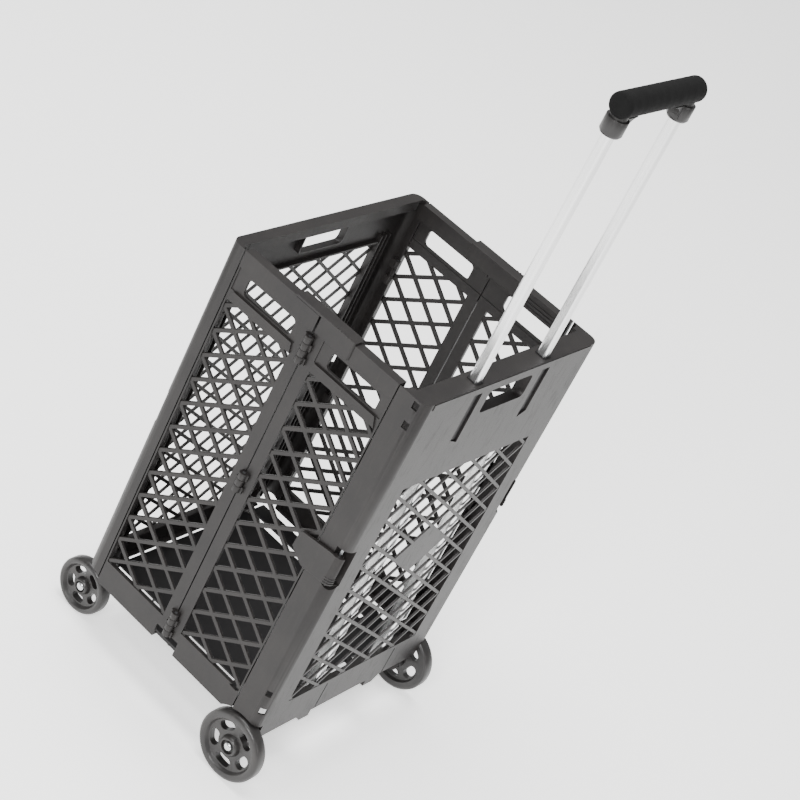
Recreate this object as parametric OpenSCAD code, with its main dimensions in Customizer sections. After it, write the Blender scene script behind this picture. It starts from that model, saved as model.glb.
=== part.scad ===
// Folding shopping trolley: a crate of hinged latticed panels on four wheels, with a
// telescopic two-tube handle. Millimetres. +X is the right side, +Y the rear (handle)
// side, +Z is up, and z = 0 is the floor. The rest pose is open, locked, handle out.

/* [Crate] */
// Width over the side walls
crate_w = 360; // [320:5:420]
// Depth from the front face to the rear face
crate_d = 315; // [280:5:380]
// Height from the walls' lower edge to the rim
crate_h = 530; // [440:5:640]
// Height of the walls' lower edge above the floor
edge_z = 84; // [84:1:100]
// Thickness of the moulded skins
wall = 2.6; // [2:0.1:3.2]
// Radius of the upright outer corners
corner_r = 13; // [8:0.5:14]
// Depth of the rear panel's side flanges
rear_flange = 41.5; // [40:0.5:52]
// Depth of the front panel's side flanges
front_flange = 23.5; // [22:0.5:30]
// Depth of the rear rim's top face
rear_rim = 27; // [26:0.5:32]
// Depth of the front rim's top face
front_rim = 16; // [12:0.5:17]
// Width of the rims and rails along the sides
side_rim = 14; // [12:0.5:15]

/* [Lattice] */
// Width of the diamonds
cell_w = 52.4; // [40:0.1:60]
// Height of the diamonds
cell_h = 37.3; // [28:0.1:46]
// Width of the bars on the rear and front panels
bar_w = 4.6; // [3:0.1:7]
// Width of the bars on the sides
side_bar_w = 5.4; // [3:0.1:7]
// Thickness of the bars
bar_t = 3; // [2:0.1:4]
// Height of the plain band below the lattice
band_h = 40; // [36:1:50]
// Height of the solid header on the rear panel
rear_header = 138; // [120:1:160]
// Height of the header above the ledge on the other walls
header = 66; // [64:1:74]
// Width of the plain posts beside the rear and front lattices
post_w = 49; // [40:1:60]

/* [Side halves] */
// Thickness of a half's corner post, which sets the corner hinge line
side_t = 8; // [8:0.5:10]
// Width of the post beside the centre hinge
mid_post = 17; // [14:0.5:24]
// How far ledges and locks stand out from the side wall
lip = 2.5; // [2:0.1:3]
// Gap between two panels that meet at a hinge
gap = 0.8; // [0.6:0.1:1.5]
// Length of the hand slot in each half
slot_l = 78; // [70:1:86]
// Height of the hand slot in each half
slot_h = 23; // [20:1:24]

/* [Hinges] */
// Diameter of the hinge pins
pin_d = 4; // [3:0.1:4.4]
// Outer radius of the hinge knuckles
knuckle_r = 4; // [3.6:0.1:4]
// Length of one knuckle
knuckle_l = 12; // [9:0.5:14]
// Outer radius of the centre hinges' barrels
barrel_r = 5.4; // [4.6:0.1:6]
// Height of one barrel of the centre hinges
barrel_l = 9; // [7:0.5:10]
// Running clearance of a pin in its bore, on the radius
pin_fit = 0.08; // [0.03:0.01:0.1]

/* [Handle] */
// Distance between the two tubes
tube_gap = 141.6; // [130:0.2:160]
// Side of the inner tube
tube_in = 13.2; // [12:0.2:16]
// Wall of both tubes
tube_t = 1.2; // [1:0.1:1.6]
// Running clearance between the tubes, on each face
tube_fit = 0.4; // [0.3:0.05:0.6]
// Height of the tubes' visible part at rest
handle_out = 338; // [300:2:400]
// How far the handle slides down
handle_travel = 330; // [280:2:390]
// Diameter of the bosses under the grip
boss_d = 27; // [26:0.5:32]
// Diameter of the grip's bar
bar_d = 18; // [16:0.5:19]
// Outer diameter of the foam sleeve
foam_d = 30; // [28:0.5:38]
// How far the foam reaches past each tube's axis
foam_over = 11.5; // [10:0.5:32]
// Height of the bar's axis above the bosses' lower ends
bar_up = 37; // [34:1:50]

/* [Wheels] */
// Diameter of the rear wheels
rear_wheel_d = 96; // [80:1:100]
// Diameter of the front wheels
front_wheel_d = 78; // [60:1:78]
// Width of the wheels
wheel_w = 19; // [16:1:24]
// How far the rear axle lies inside the rear face
rear_axle_in = 20; // [18:1:26]
// How far the front axle lies outside the front face
front_axle_out = 8; // [4:1:12]
// Outer face of the rear wheels, outside the side wall
rear_wheel_out = 5; // [4:0.5:8]
// Outer face of the front wheels, inside the side wall
front_wheel_in = 20; // [20:0.5:26]
// Diameter of the axle bolts
bolt_d = 8; // [6:0.5:9]

/* [Motion] */
// Travel of the sliding locks on the side rails
lock_travel = 42; // [40:1:48]
// Length of the sliding locks
lock_l = 94; // [86:1:96]
// Length of the lock that lies over the front half
lock_over = 39; // [30:1:39]

/* [Hidden] */
$fn = 48;
e = 0.01;

plastic = "#4c4a48";
dark = "#2e2c2c";
alu = "#d8d9da";
zinc = "#c9cbcd";
steel = "#9a9c9e";
foam = "#1f1f20";

// The origin lies midway between the wheels' foremost and rearmost points
rear_over = rear_wheel_d / 2 - rear_axle_in;
front_over = front_wheel_d / 2 + front_axle_out;
yr = (crate_d + front_over - rear_over) / 2;
yf = yr - crate_d;
xw = crate_w / 2;
zt = edge_z + crate_h;
// Hinge lines: corners on the inside, centres just outside the ledges and locks
xi = xw - side_t;
xo = xw + lip + 0.7;
y_rear = yr - rear_flange;
y_front = yf + front_flange;
half_l = (y_rear - y_front) / 2;
y_mid = (y_rear + y_front) / 2;
rail_x = xw - side_rim;
// Heights shared by the walls
band_z = edge_z + 3;
field_z = edge_z + band_h;
head_z = zt - header;
ledge_h = 13;
slot_z = head_z + ledge_h + 3;
rail_z = zt - 22;
rear_low = edge_z - 12;
front_low = edge_z + 2.5;
rim_t = 4;
lip_h = 10;
// Corner hinges have three sets of three knuckles, clear of the latch pocket
step = knuckle_l + 0.6;
corner_sets = [edge_z + 52, edge_z + 198, edge_z + crate_h - 128];
// Centre hinges: [lower end, number of knuckles]
mid_step = barrel_l + 0.6;
mid_sets = [[edge_z + 24.2, 4], [edge_z + crate_h * 0.5 + 2, 3], [rail_z - 5 - 4 * mid_step, 4]];
// Wheels
rear_x = xw + rear_wheel_out;
front_x = xw - front_wheel_in;
y_ra = yr - rear_axle_in;
z_ra = rear_wheel_d / 2;
y_fa = yf - front_axle_out;
z_fa = front_wheel_d / 2;
washer_t = 1.5;
bracket_t = 14;
boss_r = 13;
well_x = rear_x - wheel_w - washer_t;
well_r = z_ra + 4;
hub_recess = 4.5;
// Handle
tube_out = tube_in + 2 * tube_fit + 2 * tube_t;
tx = tube_gap / 2;
bush_w = tube_out + 3.2;
ty = yr - wall - 0.2 - bush_w / 2;
socket_z = edge_z - 2;
tube_top = zt - 42;
grip_z = zt + handle_out;
bar_z = grip_z + bar_up;
neck_r = 10.5;
foam_half = tx + foam_over;
lap = 90;
inner_low = tube_top - lap;
hole_z = inner_low + 34;
// Floor
floor_top = edge_z + 1;
floor_low = edge_z - 5;
floor_axis_y = ty - tube_out / 2 - 5;
floor_axis_z = (floor_top + floor_low) / 2;
floor_x = rail_x - 2;
// Latch
latch_z = edge_z + 255;
latch_h = 42;
latch_y = yr - 11;
latch_x = xw - 4.5;
latch_front = y_rear - 25.5;
pocket_x = xw - 17;
pocket_y = ty - tube_out / 2 + 1;

// A solid box between two opposite corners
module span(a, b) translate(a) cube(b - a);

// A square of side w with round corners of radius r, about the origin
module round_square(w, r) {
  square([w - 2 * r, w], center = true);
  square([w, w - 2 * r], center = true);
  for (x = [-1, 1], y = [-1, 1]) translate([x * (w / 2 - r), y * (w / 2 - r)]) circle(r);
}

// A rectangle w by h with round corners, its centre at the origin
module round_rect(w, h, r) {
  square([w - 2 * r, h], center = true);
  square([w, h - 2 * r], center = true);
  for (x = [-1, 1], y = [-1, 1]) translate([x * (w / 2 - r), y * (h / 2 - r)]) circle(r);
}

// A filled tray outline: open edge on y = 0, outer face on y = d
module tray(w, d, r) {
  translate([-w / 2, 0]) square([w, d - r]);
  translate([-w / 2 + r, d - r - e]) square([w - 2 * r, r + e]);
  for (s = [-1, 1]) translate([s * (w / 2 - r), d - r]) scale([s, 1]) intersection() {
    circle(r);
    translate([-e, -e]) square(r + 1);
  }
}

// A tray's shell between two heights: face skin tf, flange skin ts
module tray_shell(d, tf, ts, z0, z1) {
  translate([0, 0, z0]) linear_extrude(z1 - z0) difference() {
    tray(crate_w, d, corner_r);
    translate([0, -1]) tray(crate_w - 2 * ts, d - tf + 1, max(corner_r - ts, 1.5));
  }
}

// Half diagonals of the holes that leave bars of width b
bar_angle = atan2(cell_h, cell_w);
function hole_x(b) = cell_w / 2 - b / 2 / sin(bar_angle);
function hole_y(b) = cell_h / 2 - b / 2 / cos(bar_angle);
module diamond(x, y) polygon([[-x, 0], [0, -y], [x, 0], [0, y]]);

// A lattice w wide and h tall with n diamonds across and bars of width b
module lattice(w, h, n, b) {
  sx = w / n / cell_w;
  difference() {
    square([w, h]);
    for (i = [0 : n - 1], j = [0 : ceil(h / cell_h)])
      translate([(i + 0.5) * w / n, h - 12 - j * cell_h])
        diamond(hole_x(b) * sx, hole_y(b));
    for (i = [0 : n], j = [0 : ceil(h / cell_h)])
      translate([i * w / n, h - 12 + cell_h / 2 - j * cell_h])
        diamond(hole_x(b) * sx, hole_y(b));
  }
}

// Turns an outline in (x, z) into a plate from y0 to y1
module plate_xz(y0, y1) translate([0, y1, 0]) rotate([90, 0, 0]) linear_extrude(y1 - y0)
  children();
// Turns an outline in (y, z) into a plate from x0 to x1
module plate_yz(x0, x1) translate([x0, 0, 0]) rotate([90, 0, 90]) linear_extrude(x1 - x0)
  children();
// A round bar along X or Z
module rod_x(x0, x1, y, z, r) translate([x0, y, z]) rotate([0, 90, 0])
  cylinder(r = r, h = x1 - x0);
module rod_z(x, y, z0, z1, r) translate([x, y, z0]) cylinder(r = r, h = z1 - z0);

// Knuckles i of a set that starts at z, for the hinge line at (x, y)
module knuckles(x, y, sets, picks, r) for (z = sets, i = picks)
  rod_z(x, y, z + i * step, z + i * step + knuckle_l, r);
module knuckle_gaps(x, y, sets, picks, r) for (z = sets, i = picks)
  rod_z(x, y, z + i * step - 0.6, z + i * step + knuckle_l + 0.6, r);
module bores(x, y, sets, n) for (z = sets)
  rod_z(x, y, z - 1, z + n * step + 1, pin_d / 2 + pin_fit);
module hinge_pins(x, y, sets, n) color(steel) for (z = sets)
  rod_z(x, y, z, z + n * step - 0.6, pin_d / 2);

// ---- Rear panel ------------------------------------------------------------------

module left() mirror([1, 0, 0]) children();
module both() { children(); mirror([1, 0, 0]) children(); }

rear_d = rear_flange - gap;
field_x = xw - post_w;
rear_field_top = zt - rear_header;

module rear_outline() translate([0, y_rear + gap, 0]) children();

// The flange's share of the corner hinges, and the webs that carry it
module flange_knuckles(y, s) {
  knuckles(xi, y, corner_sets, [0, 2], knuckle_r);
  for (z = corner_sets, i = [0, 2])
    span([xi - knuckle_r, min(y, y + s * 7), z + i * step],
         [xw - wall + e, max(y, y + s * 7), z + i * step + knuckle_l]);
}

// Housing of a rear wheel: inner cheek, arch and axle bracket
module wheel_well() {
  intersection() {
    rear_outline() linear_extrude(zt) tray(crate_w, rear_d, corner_r);
    union() {
      intersection() {
        rod_x(well_x - 2.5, well_x, y_ra, z_ra, well_r + 2.6);
        span([0, y_rear + gap, rear_low], [xw, yr, zt]);
      }
      difference() {
        rod_x(well_x, xw, y_ra, z_ra, well_r + 2.6);
        rod_x(well_x - 1, xw + 1, y_ra, z_ra, well_r);
        span([0, 0, -1], [xw + 1, yr + 1, rear_low]);
      }
    }
  }
  span([well_x - bracket_t, floor_axis_y - 6, rear_low], [well_x, yr - wall, edge_z + 4]);
  span([well_x - bracket_t, y_ra - 11, z_ra], [well_x, y_ra + 11, rear_low + 1]);
  rod_x(well_x - bracket_t, well_x, y_ra, z_ra, boss_r);
}

// Tube socket, floor hinge lug and foot below one tube
module foot_block() {
  w = bush_w + 8;
  span([tx - w / 2, floor_axis_y + 4.5, rear_low], [tx + w / 2, yr - wall + e, edge_z + 10]);
  span([tx - w / 2, floor_axis_y, floor_axis_z - 5],
       [tx + w / 2, floor_axis_y + 5, floor_axis_z + 5]);
  rod_x(tx - w / 2, tx + w / 2, floor_axis_y, floor_axis_z, 5);
  plate_xz(yr - 12, yr) polygon([[tx - w / 2, rear_low + 4], [tx - w / 2, rear_low - 10],
    [tx + w / 2 - 9, rear_low - 10], [tx + w / 2, rear_low - 1], [tx + w / 2, rear_low + 4]]);
}

// Pocket for the latch in the panel's corner
module latch_pocket() {
  z0 = latch_z - 3;
  z1 = latch_z + latch_h + 10;
  intersection() {
    rear_outline() linear_extrude(zt) tray(crate_w - 1.2, rear_d - 0.6, corner_r - 0.6);
    difference() {
      span([pocket_x - 2.5, pocket_y, z0 - 8], [xw, yr, z1 + 3]);
      span([pocket_x, pocket_y + 2.5, z0], [xw + 1, yr + 1, z1]);
    }
  }
}

module hand_hole(w, h, z, y0, y1) plate_xz(y0, y1) translate([0, z]) round_rect(w, h, 6);

module rear_panel() {
  hole_w = 90;
  hole_h = 34;
  hz = zt - 31;
  color(plastic) difference() {
    union() {
      rear_outline() {
        tray_shell(rear_d, wall, wall, rear_low, zt);
        tray_shell(rear_d, rear_rim, side_rim, zt - rim_t, zt);
        difference() {
          tray_shell(rear_d, rear_rim, side_rim, zt - rim_t - lip_h, zt - rim_t + e);
          tray_shell(rear_d, rear_rim - 2.4, side_rim - 2.4, zt - rim_t - lip_h - 1, zt);
        }
      }
      hand_hole(hole_w + 5, hole_h + 5, hz, yr - 14, yr - e);
      // bead along the rim's outer edge
      span([4 + corner_r - xw, yr - 1, zt - 9], [xw - corner_r - 4, yr + 0.9, zt - 1.2]);
      // stiffening ribs beside the lattice, on the inside
      both() for (x = [field_x, field_x + 9])
        span([x, yr - 9, field_z - 20], [x + 2.2, yr - wall + e, rear_field_top + 30]);
      for (z = [field_z - 3, rear_field_top])
        span([-field_x, yr - 8, z], [field_x, yr - wall + e, z + 3]);
      both() {
        flange_knuckles(y_rear, 1);
        wheel_well();
        foot_block();
        latch_pocket();
      }
    }
    // lattice field, hand hole and tube windows
    span([-field_x, yr - 20, field_z], [field_x, yr + 1, rear_field_top]);
    hand_hole(hole_w, hole_h, hz, yr - 30, yr + 2);
    // shallow grooves above the feet
    for (x = [tx, -tx]) span([x - 21, yr - 1.4, rear_low + 1], [x - 19.2, yr + 1, field_z - 6]);
    both() {
      plate_xz(yr - wall - 1, yr + 2) polygon([[tx - 8, zt - 12], [tx - 8, zt - 86],
        [tx + 8, zt - 80], [tx + 8, zt - 12]]);
      // square core holes in the flange
      for (z = [zt - 13, zt - 41]) span([xw - 6, yr - 17, z], [xw + 1, yr - 9, z + 10]);
      span([xw - 10, yr - 10, edge_z + 64], [xw + 1, yr - 3.5, edge_z + 73]);
      translate([xw - 0.3 * corner_r, yr - 0.3 * corner_r, edge_z + 34]) rotate([0, 0, 45])
        translate([-5, -4.5, 0]) cube([10, 9, 10]);
      // rim cut back where the side's rail swings in
      span([rail_x - 3, y_rear, zt - 22], [xi + 1, y_rear + side_rim - side_t + 1.8, zt + 1]);
      rod_z(xi, y_rear, zt - 22, zt + 1, side_rim - side_t + 1);
      bores(xi, y_rear, corner_sets, 3);
      // tube socket, bush neck and the axles
      translate([tx, ty, socket_z]) linear_extrude(60) round_square(tube_out + 0.1, 4.5);
      translate([tx, ty, socket_z + 55]) linear_extrude(tube_top - socket_z - 100)
        round_square(tube_out + 0.8, 4.7);
      translate([tx, ty, zt - 20]) linear_extrude(40) round_square(tube_in + 3.8, 4);
      translate([tx, ty, zt - 60]) linear_extrude(60 - rim_t) square(bush_w + 0.2, center = true);
      rod_x(tx - 40, tx + 40, floor_axis_y, floor_axis_z, pin_d / 2 + pin_fit);
      rod_x(well_x, xw + 9, y_ra, z_ra, well_r);
      rod_x(well_x - 20, xw, y_ra, z_ra, bolt_d / 2 + pin_fit);
      // latch pocket and its pin
      span([pocket_x, pocket_y + 2.5, latch_z - 3], [xw + 1, yr + 1, latch_z + latch_h + 10]);
      translate([xw - 8, yr - 8, latch_z + 6]) rotate([0, 90, 45]) cylinder(r = 14, h = 30);
      rod_z(latch_x, latch_y, latch_z - 5.6, latch_z + latch_h + 12.6, pin_d / 2 + pin_fit);
    }
  }
}

module rear_lattice() {
  h = rear_field_top - field_z;
  n = round(2 * field_x / cell_w);
  color(plastic) {
    plate_xz(yr - 0.3 - bar_t, yr - 0.3) {
      translate([-field_x, field_z]) lattice(2 * field_x, h, n, bar_w);
      translate([0, rear_field_top - 12 - 3.5 * cell_h]) diamond(cell_w, cell_h);
    }
  }
}

module rear_hinge_pins() hinge_pins(xi, y_rear, corner_sets, 3);
module floor_rod() color(steel)
  rod_x(tx - bush_w / 2 - 15, tx + bush_w / 2 + 15, floor_axis_y, floor_axis_z, pin_d / 2);
module latch_pin() color(steel)
  rod_z(latch_x, latch_y, latch_z - 5.5, latch_z + latch_h + 12.5, pin_d / 2);

module outer_tube() color(alu) translate([tx, ty, socket_z]) difference() {
  linear_extrude(tube_top - socket_z) round_square(tube_out, 4.4);
  translate([0, 0, -1]) linear_extrude(tube_top) round_square(tube_out - 2 * tube_t, 3.6);
  translate([0, -tube_out, hole_z - socket_z]) rotate([-90, 0, 0]) cylinder(r = 3, h = tube_out);
}

// Guide bush at the mouth of the outer tube, with a neck through the rim
module tube_bush() color(dark) translate([tx, ty, 0]) difference() {
  union() {
    translate([-bush_w / 2, -bush_w / 2, tube_top - 50])
      cube([bush_w, bush_w, zt - rim_t - tube_top + 50]);
    translate([0, 0, zt - rim_t - e]) linear_extrude(rim_t + 1.2) round_square(tube_in + 3.6, 3.9);
  }
  translate([0, 0, tube_top - 51]) linear_extrude(51) round_square(tube_out + 0.04, 4.4);
  translate([0, 0, tube_top - 1]) linear_extrude(100) round_square(tube_in + 2 * tube_fit - 0.2, 3.5);
}

// ---- Sides: one half in (x, u, z), with u measured from its corner hinge -------------

module to_rear_half() translate([0, y_rear, 0]) mirror([0, 1, 0]) children();
module to_front_half() translate([0, y_front, 0]) children();

field_u0 = 3;
field_u1 = half_l - mid_post;

// Knuckles of the centre hinge that belong to one half: every other one
module mid_knuckles(r, grow, mine) for (s = mid_sets, i = [0 : s[1] - 1]) if (i % 2 == mine)
  rod_z(xo, half_l, s[0] + i * mid_step - grow, s[0] + i * mid_step + barrel_l + grow, r);

module half_frame(front) {
  mine = front ? 1 : 0;
  end_u = half_l - gap;
  slot_u = front ? 20 : 14;
  color(plastic) difference() {
    union() {
      // corner post, centre post, band with its lower rib
      span([xi, gap, band_z], [xw, field_u0, zt]);
      span([xw - 5, field_u1, band_z], [xw, end_u, rail_z]);
      span([xw - 3.5, gap, band_z], [xw, end_u, field_z]);
      span([xi, gap, band_z], [xw, end_u, band_z + 3]);
      span([xi + 2, gap, field_z - 3], [xw, end_u, field_z]);
      // ledge and slot plate
      span([xw - 6, gap, head_z], [xw, end_u, head_z + ledge_h]);
      plate_xz_ledge(end_u);
      span([xw - 5, gap, head_z + ledge_h], [xw - 1, end_u, rail_z + 1]);
      // rail: a channel open downwards
      span([xw - 5, gap, rail_z], [xw + 0.2, end_u, zt]);
      span([rail_x, gap, zt - 3], [xw + 0.2, end_u, zt]);
      span([rail_x, gap, rail_z], [rail_x + 2.5, end_u, zt]);
      for (u = [30 : 30 : half_l - 20]) span([rail_x, u, zt - 12], [xw, u + 2, zt - 1]);
      // outer lip that meets the sliding lock
      if (front) span([xw - 1, half_l - lock_over, rail_z - 1], [xw + lip, end_u, zt]);
      // hinges
      knuckles(xi, 0, corner_sets, [1], knuckle_r);
      for (z = corner_sets) span([xi - knuckle_r, 0, z + step],
        [xi + knuckle_r, field_u0, z + step + knuckle_l]);
      mid_knuckles(barrel_r, 0, mine);
      for (s = mid_sets, i = [0 : s[1] - 1]) if (i % 2 == mine)
        span([xw - 4, half_l - 8, s[0] + i * mid_step],
             [xo, half_l, s[0] + i * mid_step + barrel_l]);
    }
    // hand slot, notch under the centre hinge, clearances
    plate_yz(xw - 7, xw + 1) translate([slot_u + slot_l / 2, slot_z + slot_h / 2])
      round_rect(slot_l, slot_h, 6);
    span([xi - 1, half_l - 19, band_z - 1], [xw + 1, half_l + 1, edge_z + 24]);
    knuckle_gaps(xi, 0, corner_sets, [0, 2], knuckle_r + 0.6);
    mid_knuckles(barrel_r + 0.6, 0.6, 1 - mine);
    bores(xi, 0, corner_sets, 3);
    for (s = mid_sets)
      rod_z(xo, half_l, s[0] - 1, s[0] + s[1] * mid_step + 1, pin_d / 2 + pin_fit);
    if (!front) {
      plate_yz(xi + 1, xw + 1) polygon([[3, edge_z + 47.5], [2.5, edge_z + 39], [6, edge_z + 36],
        [13.5, edge_z + 36.3], [18, edge_z + 37.3]]);
      // arch over the rear wheel, and ribs along the rail's inner face
      rod_x(xi - 1, xw + 1, -(y_ra - y_rear), z_ra, well_r + 2);
      for (z = [rail_z + 4 : 5 : zt - 4])
        span([rail_x - 1, 8, z], [rail_x + 1, half_l - 8, z + 2]);
    }
  }
}

// The ledge's outer lip, cut slanting at its ends
module plate_xz_ledge(end_u) translate([xw - 1, 0, 0]) rotate([90, 0, 90])
  linear_extrude(lip + 0.5) polygon([[4, head_z], [9, head_z + ledge_h],
    [field_u1 - 2, head_z + ledge_h], [field_u1 + 1, head_z]]);

module half_lattice() color(plastic) plate_yz(xw - 1.8 - bar_t, xw - 1)
  translate([field_u0, field_z])
  lattice(field_u1 - field_u0, head_z - field_z, round((field_u1 - field_u0) / cell_w),
    side_bar_w);

module centre_hinge_pins() color(steel) for (s = mid_sets)
  rod_z(xo, y_mid, s[0], s[0] + s[1] * mid_step - 0.6, pin_d / 2);

// Sliding lock: a channel over the rail, its outer leg on the rear half only
module slide_lock() {
  y1 = y_mid - lock_over;
  y2 = y1 + lock_l;
  c = 0.3;
  color(plastic) difference() {
    union() {
      span([rail_x - c - 2.4, y1, zt + c], [xw + lip, y2, zt + c + 3]);
      span([rail_x - c - 2.4, y1, rail_z + 4], [rail_x - c, y2, zt + c + 3]);
      span([xw + 0.2 + c, y_mid + 2, rail_z + 1], [xw + lip, y2, zt + c + 3]);
      for (i = [0 : 4]) span([xw + 0.2 + c, y2 - 30 + 5 * i, zt + 3],
        [xw + lip, y2 - 28 + 5 * i, zt + c + 3.8]);
    }
    rod_z(xw + lip + 2, y2 + 2, zt - 40, zt + 9, 4);
  }
}

// ---- Front panel -----------------------------------------------------------------

front_d = front_flange - gap;
module front_outline() translate([0, y_front - gap, 0]) mirror([0, 1, 0]) children();

// Wheel bracket: thin where it passes the floor's slot, wide below it
module front_bracket() {
  x1 = front_x - wheel_w - washer_t;
  x0 = x1 - bracket_t;
  xm = (x0 + x1) / 2;
  span([x0, y_fa - 9, z_fa], [x1, yf + 18, floor_low - 0.5]);
  rod_x(x0, x1, y_fa, z_fa, boss_r);
  span([xm - 3, y_fa - 5, z_fa + 20], [xm + 3, yf + 13, front_low + 3]);
  span([xm - 3, yf + wall - e, front_low], [xm + 3, yf + 13, front_low + 40]);
}

module front_panel() {
  color(plastic) difference() {
    union() {
      front_outline() {
        tray_shell(front_d, wall, wall, front_low, zt);
        tray_shell(front_d, front_rim, side_rim, zt - rim_t, zt);
        difference() {
          tray_shell(front_d, front_rim, side_rim, zt - rim_t - lip_h, zt - rim_t + e);
          tray_shell(front_d, front_rim - 2.4, side_rim - 2.4, zt - rim_t - lip_h - 1, zt);
        }
      }
      span([-field_x - 20, yf + 1, front_low], [field_x + 20, yf + 9, front_low + 3]);
      hand_hole(87, 35, zt - 30, yf + e, yf + 9);
      span([4 + corner_r - xw, yf - 0.9, zt - 9], [xw - corner_r - 4, yf + 1, zt - 1.2]);
      both() for (x = [field_x, field_x + 9, field_x + 18])
        span([x, yf + 1, field_z - 20], [x + 2.2, yf + 9, head_z + 12]);
      for (z = [field_z - 3, head_z]) span([-field_x, yf + 1, z], [field_x, yf + 8, z + 3]);
      both() {
        flange_knuckles(y_front, -1);
        front_bracket();
      }
    }
    span([-field_x, yf - 1, field_z], [field_x, yf + 20, head_z]);
    hand_hole(82, 30, zt - 30, yf - 2, yf + 20);
    both() {
      span([rail_x - 3, y_front - (side_rim - side_t) - 1.8, zt - 22], [xi + 1, y_front, zt + 1]);
      rod_z(xi, y_front, zt - 22, zt + 1, side_rim - side_t + 1);
      bores(xi, y_front, corner_sets, 3);
      // arch over the front wheel, axle bore, and the notch that the latch hooks on
      rod_x(front_x + 1, xw + 1, y_fa, z_fa, z_fa + 24);
      rod_x(front_x - wheel_w - 20, front_x, y_fa, z_fa, bolt_d / 2 + pin_fit);
      span([xw - wall - 8, yf - 1, latch_z - 3], [xw + 1, yf + 4.5, latch_z + latch_h + 4]);
    }
  }
}

module front_lattice() {
  n = round(2 * field_x / cell_w);
  color(plastic) plate_xz(yf + 0.3, yf + 0.3 + bar_t) translate([-field_x, field_z])
    lattice(2 * field_x, head_z - field_z, n, bar_w);
}

module front_hinge_pins() hinge_pins(xi, y_front, corner_sets, 3);

// ---- Floor -----------------------------------------------------------------------

module floor_panel() {
  y0 = yf + 10.6;
  y1 = floor_axis_y - 8.5;
  xn = well_x - 5.5;
  w = bush_w + 8;
  slot_x = front_x - wheel_w - washer_t - bracket_t / 2;
  shift = 2 * half_l * (1 - cos(87)) - 2 * (xo - xi) * sin(87);
  yn = y_ra - rear_wheel_d / 2 - 5;
  color(dark) difference() {
    union() {
      span([-floor_x, y0, floor_top - 2.5], [floor_x, yn, floor_top]);
      span([-xn, yn - e, floor_top - 2.5], [xn, y1, floor_top]);
      // ribs underneath
      for (x = [-floor_x + 1, floor_x - 3.4]) span([x, y0, floor_low], [x + 2.4, yn, floor_top]);
      for (i = [-3 : 3]) span([i * 34 - 1.2, y0, floor_low], [i * 34 + 1.2, y1, floor_top]);
      for (y = [y0, y0 + 68, y0 + 136, yn - 2.4])
        span([-floor_x, y, floor_low], [floor_x, y + 2.4, floor_top]);
      span([-xn, y1 - 2.4, floor_low], [xn, y1, floor_top]);
      both() for (x = [tx - w / 2 - 10.4, tx + w / 2 + 0.4]) {
        rod_x(x, x + 10, floor_axis_y, floor_axis_z, 4.5);
        span([x, y1 - 1, floor_low], [x + 10, floor_axis_y, floor_top]);
      }
    }
    both() {
      span([slot_x - 5.5, y0 - 1, floor_low - 1], [slot_x + 5.5, yf + 13 + shift + 8,
        floor_top + 2]);
      rod_x(tx - w, tx + w, floor_axis_y, floor_axis_z, pin_d / 2 + pin_fit);
    }
  }
}

// ---- Latch -----------------------------------------------------------------------

// Strap along the side wall that wraps the panel's corner and turns on a pin inside it
module latch() color(plastic) difference() {
  r = xw + 4.6 - latch_x;
  union() {
    plate_yz(xw + 0.6, xw + 4.6) polygon([[latch_front, latch_z + 11],
      [latch_front + 1, latch_z + 33], [latch_front + 4, latch_z + 36.5],
      [latch_y - 10, latch_z + latch_h], [latch_y, latch_z + latch_h], [latch_y, latch_z],
      [latch_y - 12, latch_z], [latch_front + 26, latch_z - 3], [latch_front + 20, latch_z - 2]]);
    rod_z(latch_x, latch_y, latch_z, latch_z + latch_h, 5.2);
    // the end wraps round the corner, with ribs for the thumb at its foot
    intersection() {
      union() {
        rod_z(latch_x, latch_y, latch_z, latch_z + latch_h, r);
        for (i = [0 : 2]) rod_z(latch_x, latch_y, latch_z + 1.5 + 3.6 * i, latch_z + 3.3 + 3.6 * i,
          r + 0.9);
      }
      span([latch_x + 0.4, latch_y - 0.5, latch_z - 1], [xw + 9, yr + 9, latch_z + latch_h + 1]);
    }
    span([latch_x, latch_y - 5.2, latch_z], [xw + 4.6, latch_y, latch_z + latch_h]);
  }
  rod_z(latch_x, latch_y, latch_z - 1, latch_z + latch_h + 1, pin_d / 2 + pin_fit);
}

// ---- Handle ----------------------------------------------------------------------

module inner_tube() color(alu) translate([tx, ty, inner_low]) difference() {
  linear_extrude(grip_z + 20 - inner_low) round_square(tube_in, 3.4);
  translate([0, 0, -1]) linear_extrude(grip_z - inner_low + 30)
    round_square(tube_in - 2 * tube_t, 2.2);
  translate([0, -tube_in, hole_z - inner_low]) rotate([-90, 0, 0]) cylinder(r = 2.6, h = tube_in);
}

module tube_plug() color(dark) translate([tx, ty, inner_low]) {
  translate([0, 0, -5]) linear_extrude(5) round_square(tube_in + 2 * tube_fit - 0.2, 3.4);
  linear_extrude(18) round_square(tube_in - 2 * tube_t - 0.1, 2.1);
}

// Leaf spring with a button that stands in the inner tube's hole
module detent_spring() {
  r = tube_in / 2 - tube_t;
  color(steel) translate([tx, ty, 0]) {
    span([-3.4, -r + 0.2, inner_low + 18], [3.4, -r + 1, hole_z + 10]);
    span([-3.4, -r + 0.2, inner_low + 18], [3.4, r - 0.2, inner_low + 18.8]);
    translate([0, -tube_in / 2 - 0.1, hole_z]) rotate([-90, 0, 0])
      cylinder(r = 2.4, h = tube_t + 0.6);
  }
}

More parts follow.
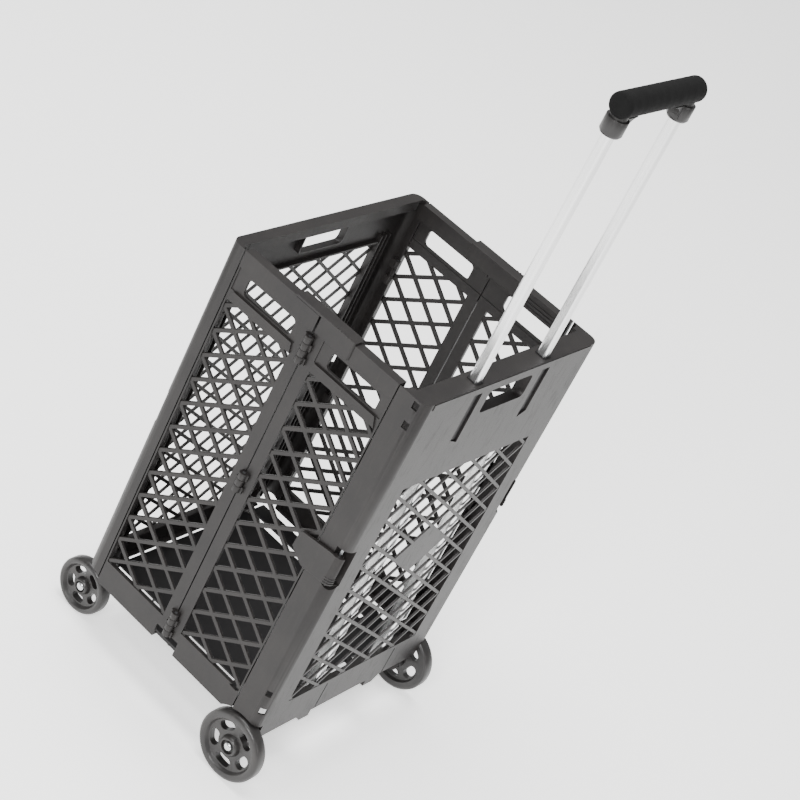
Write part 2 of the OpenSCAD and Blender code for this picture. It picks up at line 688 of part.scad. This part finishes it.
module grip() color(plastic) difference() {
  union() {
    rod_x(3 - foam_half, foam_half - 3, ty, bar_z, bar_d / 2);
    both() translate([tx, ty, 0]) {
      translate([0, 0, grip_z]) cylinder(r1 = boss_d / 2 - 2, r2 = boss_d / 2, h = 3);
      translate([0, 0, grip_z + 3 - e]) cylinder(r = boss_d / 2, h = bar_z - foam_d / 2 - grip_z - 4);
      translate([0, 0, grip_z + 3]) cylinder(r = neck_r, h = bar_z - grip_z - 1);
    }
    both() plate_xz(ty - 7, ty + 7) polygon(concat(
      [[tx - 4, grip_z + 6], [tx - 4, bar_z - foam_d / 2 - 0.6],
       [tx - boss_d / 2 - 18, bar_z - foam_d / 2 - 0.6]],
      [for (a = [0 : 15 : 90]) [tx - boss_d / 2 - 18 + 18 * sin(a),
        bar_z - foam_d / 2 - 0.6 - 18 + 18 * cos(a)]]));
  }
  both() translate([tx, ty, grip_z - 1]) linear_extrude(21) round_square(tube_in + 0.04, 3.4);
}

// Foam tube over the bar, open below where the necks come up
module foam_sleeve() color(foam) difference() {
  rod_x(-foam_half, foam_half, ty, bar_z, foam_d / 2);
  rod_x(-foam_half - 1, foam_half + 1, ty, bar_z, bar_d / 2 + 0.1);
  both() translate([tx, ty, 0]) {
    translate([0, 0, bar_z - foam_d]) cylinder(r = neck_r + 0.1, h = foam_d + 2.1);
  }
}

// ---- Wheels ----------------------------------------------------------------------

// A wheel about the X axis with its outer face at x = 0, radius r
module wheel(r) {
  rim = 0.72 * r;
  hub = 0.27 * r;
  r0 = 0.42 * r;
  r1 = 0.68 * r;
  w = wheel_w;
  color(plastic) rotate([0, 90, 0]) difference() {
    rotate_extrude($fn = 96) polygon([[bolt_d / 2 + pin_fit, -w], [hub, -w], [hub, -w + 3],
      [rim, -w + 4.5], [rim + 2, -w], [r - 4, -w], [r - 1.2, -w + 1.6], [r, -w + 4.5],
      [r, -5], [r - 0.8, -2.6], [r - 2.6, -0.8], [r - 5, 0], [rim + 3, -0.8], [rim, -5.5],
      [hub + 2, -7], [hub, -1.5], [hub - 1.5, 0], [0.2 * r, 0], [0.2 * r, -hub_recess],
      [bolt_d / 2 + pin_fit, -hub_recess]]);
    for (k = [0 : 4]) rotate([0, 0, 72 * k]) translate([0, 0, -w - 1]) linear_extrude(w + 2)
      kidney(r0, r1, 12);
  }
}

// A kidney-shaped hole between radii a and b, half angle t to its end arcs' centres
function arc(r, c, p0, p1, n) = [for (i = [0 : n]) let (p = p0 + (p1 - p0) * i / n)
  [c[0] + r * cos(p), c[1] + r * sin(p)]];
module kidney(a, b, t) {
  m = (a + b) / 2;
  q = (b - a) / 2;
  polygon(concat(arc(b, [0, 0], -t, t - 4, 9),
    arc(q, [m * cos(t), m * sin(t)], t, t + 180, 8), arc(a, [0, 0], t - 5, 5 - t, 4),
    arc(q, [m * cos(t), -m * sin(t)], 180 - t, 360 - t - 15, 7)));
}

// Domed bolt: head in the wheel's recess, shank through the bracket, as if facing +X
module axle_bolt(x, y, z, len) {
  hr = 0.75 * bolt_d;
  color(zinc) translate([x - hub_recess, y, z]) rotate([0, 90, 0]) rotate_extrude()
    polygon(concat([[0, -len], [bolt_d / 2, -len], [bolt_d / 2, 0.2], [hr, 0.2], [hr, 2.6]],
      [for (a = [15 : 15 : 75]) [hr * cos(a), 2.6 + 3.4 * sin(a)]], [[0, 6]]));
}

module nut(x, y, z) color(zinc) difference() {
  translate([x, y, z]) rotate([0, -90, 0]) cylinder(r = 0.94 * bolt_d, h = 6.5, $fn = 6);
  rod_x(x - 8, x + 1, y, z, bolt_d / 2 + 0.02);
}
module washer(x, y, z) color(zinc) difference() {
  rod_x(x, x + washer_t - 0.3, y, z, bolt_d);
  rod_x(x - 1, x + washer_t + 1, y, z, bolt_d / 2 + 0.05);
}

rear_bolt_l = wheel_w - hub_recess + washer_t + bracket_t + 8;
module rear_wheel() translate([rear_x, y_ra, z_ra]) wheel(z_ra);
module front_wheel() translate([front_x, y_fa, z_fa]) wheel(z_fa);
module rear_bolt() axle_bolt(rear_x, y_ra, z_ra, rear_bolt_l);
module front_bolt() axle_bolt(front_x, y_fa, z_fa, rear_bolt_l);
module rear_nut() nut(well_x - bracket_t, y_ra, z_ra);
module front_nut() nut(front_x - wheel_w - washer_t - bracket_t, y_fa, z_fa);
module rear_washer() washer(well_x, y_ra, z_ra);
module front_washer() washer(front_x - wheel_w - washer_t, y_fa, z_fa);

// ---- Output ----------------------------------------------------------------------

rear_panel();
rear_lattice();
outer_tube();  // right_outer_tube
left() outer_tube();  // left_outer_tube
tube_bush();  // right_tube_bush
left() tube_bush();  // left_tube_bush
rear_hinge_pins();  // right_rear_hinge_pins
left() rear_hinge_pins();  // left_rear_hinge_pins
floor_rod();  // right_floor_rod
left() floor_rod();  // left_floor_rod
latch_pin();  // right_latch_pin
left() latch_pin();  // left_latch_pin
rear_bolt();  // right_rear_bolt
left() rear_bolt();  // left_rear_bolt
rear_nut();  // right_rear_nut
left() rear_nut();  // left_rear_nut
rear_washer();  // right_rear_washer
left() rear_washer();  // left_rear_washer
to_rear_half() half_frame(false);  // right_rear_half
to_rear_half() half_lattice();  // right_rear_half_lattice
centre_hinge_pins();  // right_centre_hinge_pins
to_front_half() half_frame(true);  // right_front_half
to_front_half() half_lattice();  // right_front_half_lattice
left() to_rear_half() half_frame(false);  // left_rear_half
left() to_rear_half() half_lattice();  // left_rear_half_lattice
left() centre_hinge_pins();  // left_centre_hinge_pins
left() to_front_half() half_frame(true);  // left_front_half
left() to_front_half() half_lattice();  // left_front_half_lattice
front_panel();
front_lattice();
front_hinge_pins();  // right_front_hinge_pins
left() front_hinge_pins();  // left_front_hinge_pins
front_bolt();  // right_front_bolt
left() front_bolt();  // left_front_bolt
front_nut();  // right_front_nut
left() front_nut();  // left_front_nut
front_washer();  // right_front_washer
left() front_washer();  // left_front_washer
floor_panel();
slide_lock();  // right_slide_lock
left() slide_lock();  // left_slide_lock
latch();  // right_latch
left() latch();  // left_latch
inner_tube();  // right_inner_tube
left() inner_tube();  // left_inner_tube
tube_plug();  // right_tube_plug
left() tube_plug();  // left_tube_plug
detent_spring();  // right_detent_spring
left() detent_spring();  // left_detent_spring
grip();
foam_sleeve();
rear_wheel();  // right_rear_wheel
left() rear_wheel();  // left_rear_wheel
front_wheel();  // right_front_wheel
left() front_wheel();  // left_front_wheel
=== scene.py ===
import math

import bmesh
import bpy
import numpy as np
from mathutils import Matrix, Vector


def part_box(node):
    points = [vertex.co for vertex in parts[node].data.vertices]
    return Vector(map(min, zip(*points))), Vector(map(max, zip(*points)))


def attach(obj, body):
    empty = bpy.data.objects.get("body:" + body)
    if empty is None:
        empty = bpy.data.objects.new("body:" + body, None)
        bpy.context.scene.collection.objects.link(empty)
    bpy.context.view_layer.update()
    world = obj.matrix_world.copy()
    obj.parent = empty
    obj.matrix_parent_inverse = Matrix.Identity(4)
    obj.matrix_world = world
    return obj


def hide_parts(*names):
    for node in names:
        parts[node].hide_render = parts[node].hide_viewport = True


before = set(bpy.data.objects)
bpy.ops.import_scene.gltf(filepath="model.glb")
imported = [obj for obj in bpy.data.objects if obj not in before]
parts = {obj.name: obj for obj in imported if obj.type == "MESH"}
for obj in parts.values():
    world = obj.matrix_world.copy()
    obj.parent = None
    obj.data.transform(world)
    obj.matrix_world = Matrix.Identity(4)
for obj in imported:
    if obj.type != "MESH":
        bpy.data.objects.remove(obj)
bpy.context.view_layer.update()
sides = ("right", "left")

# --- The crate: latticed panels -------------------------------------------------
# Rear and front panels, four side halves, two sliding locks and two latches, all
# injection-moulded in charcoal polypropylene from a finely spark-eroded mould.


def linear(hex_colour):
    """An sRGB hex colour as linear red, green, blue and alpha 1."""
    srgb = np.array([int(hex_colour[i : i + 2], 16) for i in (1, 3, 5)]) / 255
    low = srgb / 12.92
    high = ((srgb + 0.055) / 1.055) ** 2.4
    return (*np.where(srgb <= 0.04045, low, high).tolist(), 1.0)


def add_node(tree, kind, sockets=None, **settings):
    """Adds one node; sockets maps an input's name or number to a value or to a link."""
    made = tree.nodes.new(kind)
    for name, value in settings.items():
        setattr(made, name, value)
    for name, value in (sockets or {}).items():
        if isinstance(value, bpy.types.NodeSocket):
            tree.links.new(value, made.inputs[name])
        else:
            made.inputs[name].default_value = value
    return made


def new_material(name):
    """An empty node material with its output; returns both."""
    material = bpy.data.materials.new(name)
    material.use_nodes = True
    material.node_tree.nodes.clear()
    return material, material.node_tree


def moulded_polypropylene(name, colour, worn, roughness, grain_mm=0.7, scuff=0.35,
                          shine=0.3):
    """Moulded polypropylene: a satin skin, fine eroded grain, faint flow clouds and
    dull pale scuffs. The real grain is about 0.1 mm; it is drawn coarser to show."""
    material, tree = new_material(name)
    where = add_node(tree, "ShaderNodeTexCoord").outputs["Object"]
    clouds = add_node(tree, "ShaderNodeTexNoise", {
        "Vector": where, "Scale": 1000 / 55, "Detail": 4.0, "Roughness": 0.6})
    drawn = add_node(tree, "ShaderNodeMapping", {
        "Vector": where, "Scale": (1.0, 1.0, 0.22), "Rotation": (0.35, 0.2, 0.1)})
    rubs = add_node(tree, "ShaderNodeTexNoise", {
        "Vector": drawn.outputs["Vector"], "Scale": 1000 / 7, "Detail": 5.0,
        "Roughness": 0.72, "Distortion": 0.6})
    rub_mask = add_node(tree, "ShaderNodeMapRange", {
        "Value": rubs.outputs["Fac"], "From Min": 0.52, "From Max": 0.74,
        "To Min": 0.0, "To Max": scuff})
    cloud_mask = add_node(tree, "ShaderNodeMapRange", {
        "Value": clouds.outputs["Fac"], "From Min": 0.3, "From Max": 0.72,
        "To Min": 0.0, "To Max": 0.3})
    base = add_node(tree, "ShaderNodeMix", {
        "Factor": cloud_mask.outputs["Result"], "A": linear(colour), "B": linear(worn)},
        data_type="RGBA")
    rubbed = add_node(tree, "ShaderNodeMix", {
        "Factor": rub_mask.outputs["Result"], "A": base.outputs["Result"],
        "B": linear(worn)}, data_type="RGBA")
    grain = add_node(tree, "ShaderNodeTexNoise", {
        "Vector": where, "Scale": 1000 / grain_mm, "Detail": 2.0, "Roughness": 0.55})
    bump = add_node(tree, "ShaderNodeBump", {
        "Height": grain.outputs["Fac"], "Strength": 0.22, "Distance": 0.0003})
    dull = add_node(tree, "ShaderNodeMath", {
        0: rub_mask.outputs["Result"], 1: 0.35, 2: roughness}, operation="MULTIPLY_ADD")
    shader = add_node(tree, "ShaderNodeBsdfPrincipled", {
        "Base Color": rubbed.outputs["Result"], "Roughness": dull.outputs["Value"],
        "IOR": 1.49, "Specular IOR Level": shine, "Normal": bump.outputs["Normal"]})
    add_node(tree, "ShaderNodeOutputMaterial", {"Surface": shader.outputs["BSDF"]})
    return material


same_point = 0.00001
flat_within = math.radians(0.3)
sharp_from = math.radians(35)
edge_segments = 2


def finish(node_name, material, edge_mm=0.0):
    """Gives a CAD node its material, and rounds its edges by edge_mm where that is
    more than 0: triangles are joined into flat faces, then each edge is bevelled."""
    thing = parts[node_name]
    thing.data.materials.clear()
    thing.data.materials.append(material)
    if edge_mm:
        weld = thing.modifiers.new("joined", "WELD")
        weld.merge_threshold = same_point
        flat = thing.modifiers.new("flat_faces", "DECIMATE")
        flat.decimate_type = "DISSOLVE"
        flat.angle_limit = flat_within
        round_off = thing.modifiers.new("rounded_edges", "BEVEL")
        round_off.width = edge_mm / 1000
        round_off.segments = edge_segments
        round_off.limit_method = "ANGLE"
        round_off.angle_limit = sharp_from
        round_off.harden_normals = True
        round_off.use_clamp_overlap = True


crate_plastic = moulded_polypropylene("crate_polypropylene", "#1a1818", "#322f2d", 0.42)
for panel in ("rear_panel", "front_panel"):
    finish(panel, crate_plastic, 0.9)
for lattice in ("rear_lattice", "front_lattice"):
    finish(lattice, crate_plastic, 0.7)
for side in sides:
    for end in ("rear", "front"):
        finish(f"{side}_{end}_half", crate_plastic, 0.7)
        finish(f"{side}_{end}_half_lattice", crate_plastic, 0.7)
    finish(f"{side}_slide_lock", crate_plastic, 0.7)
    finish(f"{side}_latch", crate_plastic, 0.7)

# --- The floor and the tube bushes ----------------------------------------------
# Stiffer moulded polypropylene, drawn in a darker charcoal that is painted shade of the
# crate's interior and recesses: the ribbed floor, the guide bushes in the rim, and the
# plugs in the ends of the sliding tubes.

# The darker base and scuff colours here are painted shade, not a darker plastic.
interior_shade_plastic = moulded_polypropylene("polypropylene_painted_interior_shade", "#121112", "#211f1f", 0.5)
finish("floor_panel", interior_shade_plastic, 0.5)
for side in sides:
    finish(f"{side}_tube_bush", interior_shade_plastic, 0.4)
    finish(f"{side}_tube_plug", interior_shade_plastic, 0.3)

# --- The grip --------------------------------------------------------------------
# One moulding of smooth polypropylene: a bar with a boss for each tube.

grip_plastic = moulded_polypropylene("grip_polypropylene", "#1c1b1b", "#302e2d", 0.34,
                                     grain_mm=1.0, scuff=0.2, shine=0.4)
finish("grip", grip_plastic, 0.8)

# --- The wheels ------------------------------------------------------------------
# Solid moulded wheels with a flat tread, turning on domed bolts. The tread is
# scuffed dull by the ground.

wheel_plastic = moulded_polypropylene("wheel_polypropylene", "#1f1e1e", "#3a3735", 0.36,
                                      grain_mm=0.8, scuff=0.5, shine=0.45)
for side in sides:
    for end in ("rear", "front"):
        finish(f"{side}_{end}_wheel", wheel_plastic, 0.6)

# --- The tubes --------------------------------------------------------------------
# Drawn aluminium tube with rounded corners, clear anodised: bright and satin, with
# fine lines along its length.


def drawn_aluminium(name, colour, dark, roughness):
    """Drawn aluminium: bright metal with hair-fine lines and soft bands along Z. The
    real lines are about 0.05 mm wide; they are drawn 0.4 mm wide to show."""
    material, tree = new_material(name)
    where = add_node(tree, "ShaderNodeTexCoord").outputs["Object"]
    along = add_node(tree, "ShaderNodeMapping", {
        "Vector": where, "Scale": (1.0, 1.0, 0.006)})
    lines = add_node(tree, "ShaderNodeTexNoise", {
        "Vector": along.outputs["Vector"], "Scale": 1000 / 0.4, "Detail": 3.0,
        "Roughness": 0.6})
    bands = add_node(tree, "ShaderNodeTexNoise", {
        "Vector": along.outputs["Vector"], "Scale": 1000 / 5, "Detail": 2.0})
    tone = add_node(tree, "ShaderNodeMapRange", {
        "Value": bands.outputs["Fac"], "From Min": 0.35, "From Max": 0.7,
        "To Min": 0.0, "To Max": 0.5})
    base = add_node(tree, "ShaderNodeMix", {
        "Factor": tone.outputs["Result"], "A": linear(colour), "B": linear(dark)},
        data_type="RGBA")
    gloss = add_node(tree, "ShaderNodeMapRange", {
        "Value": lines.outputs["Fac"], "From Min": 0.3, "From Max": 0.7,
        "To Min": roughness - 0.06, "To Max": roughness + 0.08})
    bump = add_node(tree, "ShaderNodeBump", {
        "Height": lines.outputs["Fac"], "Strength": 0.12, "Distance": 0.0001})
    shader = add_node(tree, "ShaderNodeBsdfPrincipled", {
        "Base Color": base.outputs["Result"], "Metallic": 1.0,
        "Roughness": gloss.outputs["Result"], "Normal": bump.outputs["Normal"]})
    add_node(tree, "ShaderNodeOutputMaterial", {"Surface": shader.outputs["BSDF"]})
    return material


tube_metal = drawn_aluminium("anodised_aluminium", "#ececec", "#d6d7d8", 0.3)
for side in sides:
    finish(f"{side}_inner_tube", tube_metal)
    finish(f"{side}_outer_tube", tube_metal)

# --- Bolts, nuts, washers and pins -------------------------------------------------
# Zinc-plated steel: bright and slightly cloudy. The hinge pins are plain drawn wire.


def plated_steel(name, colour, cloud, roughness, cloud_mm):
    """Zinc-plated steel: bright metal with small cloudy crystals of two greys."""
    material, tree = new_material(name)
    where = add_node(tree, "ShaderNodeTexCoord").outputs["Object"]
    crystals = add_node(tree, "ShaderNodeTexNoise", {
        "Vector": where, "Scale": 1000 / cloud_mm, "Detail": 4.0, "Roughness": 0.65})
    base = add_node(tree, "ShaderNodeMix", {
        "Factor": crystals.outputs["Fac"], "A": linear(colour), "B": linear(cloud)},
        data_type="RGBA")
    gloss = add_node(tree, "ShaderNodeMapRange", {
        "Value": crystals.outputs["Fac"], "From Min": 0.3, "From Max": 0.7,
        "To Min": roughness - 0.05, "To Max": roughness + 0.1})
    bump = add_node(tree, "ShaderNodeBump", {
        "Height": crystals.outputs["Fac"], "Strength": 0.1, "Distance": 0.0001})
    shader = add_node(tree, "ShaderNodeBsdfPrincipled", {
        "Base Color": base.outputs["Result"], "Metallic": 1.0,
        "Roughness": gloss.outputs["Result"], "Normal": bump.outputs["Normal"]})
    add_node(tree, "ShaderNodeOutputMaterial", {"Surface": shader.outputs["BSDF"]})
    return material


zinc = plated_steel("zinc_plated_steel", "#dcdddd", "#b4b6b8", 0.2, 1.5)
wire = plated_steel("drawn_steel_wire", "#9a9c9e", "#7d7f81", 0.34, 0.8)
for side in sides:
    for end in ("rear", "front"):
        finish(f"{side}_{end}_bolt", zinc, 0.25)
        finish(f"{side}_{end}_nut", zinc, 0.3)
        finish(f"{side}_{end}_washer", zinc)
        finish(f"{side}_{end}_hinge_pins", wire)
    for pin in ("centre_hinge_pins", "floor_rod", "latch_pin", "detent_spring"):
        finish(f"{side}_{pin}", wire)

# --- The foam sleeve ---------------------------------------------------------------
# A roll of closed-cell foam pushed over the grip's bar and closed over its ends, with
# rounded rims. It is soft and matt black.


def closed_cell_foam(name, colour, pale):
    """Closed-cell foam: a dry black skin of 0.8 mm cells with a faint nap."""
    material, tree = new_material(name)
    where = add_node(tree, "ShaderNodeTexCoord").outputs["Object"]
    cells = add_node(tree, "ShaderNodeTexVoronoi", {
        "Vector": where, "Scale": 1000 / 0.9}, feature="F1")
    dust = add_node(tree, "ShaderNodeTexNoise", {
        "Vector": where, "Scale": 1000 / 12, "Detail": 5.0, "Roughness": 0.7})
    tone = add_node(tree, "ShaderNodeMapRange", {
        "Value": dust.outputs["Fac"], "From Min": 0.4, "From Max": 0.75,
        "To Min": 0.0, "To Max": 0.7})
    base = add_node(tree, "ShaderNodeMix", {
        "Factor": tone.outputs["Result"], "A": linear(colour), "B": linear(pale)},
        data_type="RGBA")
    bump = add_node(tree, "ShaderNodeBump", {
        "Height": cells.outputs["Distance"], "Strength": 0.5, "Distance": 0.0004})
    shader = add_node(tree, "ShaderNodeBsdfPrincipled", {
        "Base Color": base.outputs["Result"], "Roughness": 0.85,
        "Specular IOR Level": 0.2, "Normal": bump.outputs["Normal"]})
    add_node(tree, "ShaderNodeOutputMaterial", {"Surface": shader.outputs["BSDF"]})
    return material


def foam_roll(low, high, end_round, around=96, along=120):
    """A closed roll along X. Its profile runs from the axis up one end face, over the
    rounded rim, along the skin and down the other end; every point is turned about the
    X axis. The skin waves by a few tenths of a millimetre, as foam does on a bar."""
    centre = (np.array(low) + np.array(high)) / 2
    radius = (high[2] - low[2]) / 2
    half = (high[0] - low[0]) / 2
    bend = np.linspace(0, math.pi / 2, 9)
    face = np.linspace(0, radius - end_round, 8)[:-1]
    skin = np.linspace(-half + end_round, half - end_round, along)
    x = np.concatenate([np.full(len(face), -half), -half + end_round * (1 - np.cos(bend)),
                        skin[1:-1], half - end_round * (1 - np.sin(bend)),
                        np.full(len(face), half)])
    r = np.concatenate([face, radius - end_round * (1 - np.sin(bend)),
                        np.full(along - 2, radius), radius - end_round * (1 - np.cos(bend)),
                        face[::-1]])
    turn = np.linspace(0, 2 * math.pi, around, endpoint=False)
    xx, tt = np.meshgrid(x, turn, indexing="ij")
    wave = 0.992 + 0.006 * np.sin(xx * 190) * np.cos(2 * tt) + 0.004 * np.sin(xx * 420 + tt)
    rr = r[:, None] * wave
    points = np.stack([xx + centre[0], centre[1] + rr * np.cos(tt),
                       centre[2] + rr * np.sin(tt)], axis=-1).reshape(-1, 3)
    rows, cols = len(x), around
    i, j = np.meshgrid(np.arange(rows - 1), np.arange(cols), indexing="ij")
    beside = (j + 1) % cols
    quads = np.stack([i * cols + j, i * cols + beside, (i + 1) * cols + beside,
                      (i + 1) * cols + j], axis=-1).reshape(-1, 4)
    mesh = bpy.data.meshes.new("foam_cover")
    mesh.from_pydata(points.tolist(), [], quads.tolist())
    mesh.update()
    return mesh


foam_low, foam_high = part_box("foam_sleeve")
foam_rim_round = 0.004
foam_mesh = foam_roll(foam_low, foam_high, foam_rim_round)
shaper = bmesh.new()
shaper.from_mesh(foam_mesh)
bmesh.ops.remove_doubles(shaper, verts=shaper.verts, dist=1e-6)
bmesh.ops.recalc_face_normals(shaper, faces=shaper.faces)
shaper.to_mesh(foam_mesh)
shaper.free()
foam_mesh.polygons.foreach_set("use_smooth", [True] * len(foam_mesh.polygons))
foam_cover = bpy.data.objects.new("foam_cover", foam_mesh)
bpy.context.scene.collection.objects.link(foam_cover)
foam_mesh.materials.append(closed_cell_foam("closed_cell_foam", "#030303", "#0b0b0b"))
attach(foam_cover, "handle")
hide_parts("foam_sleeve")

# --- Floor, light and camera --------------------------------------------------------
# A plain pale floor under soft studio light, seen from above the right rear corner.

floor_mesh = bpy.data.meshes.new("studio_floor")
floor_half = 6.0
floor_mesh.from_pydata([(-floor_half, -floor_half, 0), (floor_half, -floor_half, 0),
                        (floor_half, floor_half, 0), (-floor_half, floor_half, 0)], [],
                       [(0, 1, 2, 3)])
studio_floor = bpy.data.objects.new("studio_floor", floor_mesh)
bpy.context.scene.collection.objects.link(studio_floor)
paper, paper_tree = new_material("pale_paper")
paper_shader = add_node(paper_tree, "ShaderNodeBsdfPrincipled", {
    "Base Color": linear("#fbfbfa"), "Roughness": 0.9,
    "Emission Color": linear("#ffffff"), "Emission Strength": 0.9})
add_node(paper_tree, "ShaderNodeOutputMaterial", {"Surface": paper_shader.outputs["BSDF"]})
floor_mesh.materials.append(paper)

world = bpy.data.worlds.new("studio")
bpy.context.scene.world = world
world.use_nodes = True
sky = world.node_tree.nodes["Background"].inputs
sky["Color"].default_value = linear("#ffffff")
sky["Strength"].default_value = 0.6


def soft_light(name, place, target, size, power):
    """A square area light at place, turned to face target."""
    lamp = bpy.data.lights.new(name, "AREA")
    lamp.size = size
    lamp.energy = power
    holder = bpy.data.objects.new(name, lamp)
    bpy.context.scene.collection.objects.link(holder)
    back = np.array(place, float) - np.array(target, float)
    back /= np.linalg.norm(back)
    right = np.cross((0, 0, 1), back)
    right /= np.linalg.norm(right)
    up = np.cross(back, right)
    pose = np.eye(4)
    pose[:3, 0], pose[:3, 1], pose[:3, 2], pose[:3, 3] = right, up, back, place
    holder.matrix_world = Matrix(pose.tolist())
    holder.visible_camera = False


soft_light("key", (3.4, 1.0, 2.6), target=(0, 0, 0.45), size=1.4, power=175)
soft_light("rear_fill", (0.6, 3.6, 1.6), target=(0, 0, 0.4), size=1.4, power=28)
soft_light("top", (0.2, -0.6, 4.0), target=(0, 0, 0.5), size=2.2, power=210)

camera_data = bpy.data.cameras.new("camera")
camera_data.sensor_width = 36  # millimetres
camera_data.lens = 95.2  # millimetres
camera = bpy.data.objects.new("camera", camera_data)
camera.location = (1.9746, 0.9714, 1.8048)
camera.rotation_euler = [math.radians(turn) for turn in (55.5, -23.35, 130.25)]
bpy.context.scene.collection.objects.link(camera)
bpy.context.scene.camera = camera

bpy.context.view_layer.update()
